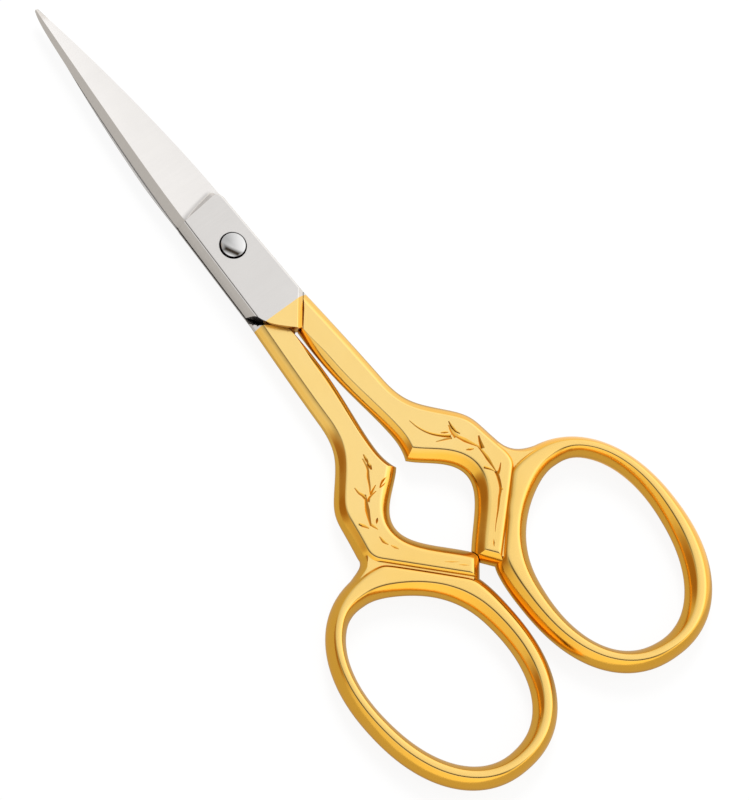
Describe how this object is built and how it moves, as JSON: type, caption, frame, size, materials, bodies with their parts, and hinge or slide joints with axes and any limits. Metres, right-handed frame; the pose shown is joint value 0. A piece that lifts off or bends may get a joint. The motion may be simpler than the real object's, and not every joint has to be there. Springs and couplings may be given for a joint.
{
  "type": "embroidery scissors",
  "caption": "Small embroidery scissors with slender pointed steel blades, a domed pivot screw, and gilt handles with leaf engraving, a stepped arm and oval finger rings.",
  "frame": {"origin": "on the pivot axis, on the plane of the scissors' backs, where the closed scissors rest", "axes": "+X from the points towards the finger rings, +Y to the side of the front half's handle, +Z out of the front, along the pivot axis"},
  "size_m": [0.0889, 0.0402, 0.004],
  "materials": {
    "blade_steel": "fine-ground, nickel-bright steel",
    "gilt_handle": "polished gold plating over steel",
    "screw_steel": "polished steel"
  },
  "bodies": {
    "rear_half": {"rear_blade": "blade_steel", "rear_handle": "gilt_handle", "pivot_screw": "screw_steel"},
    "front_half": {"front_blade": "blade_steel", "front_handle": "gilt_handle"}
  },
  "joints": [
    {"name": "blade_pivot", "type": "hinge", "parent": "rear_half", "child": "front_half", "pos_m": [0, 0, 0.0017], "axis": [0, 0, 1], "range_deg": [0, 130]}
  ]
}
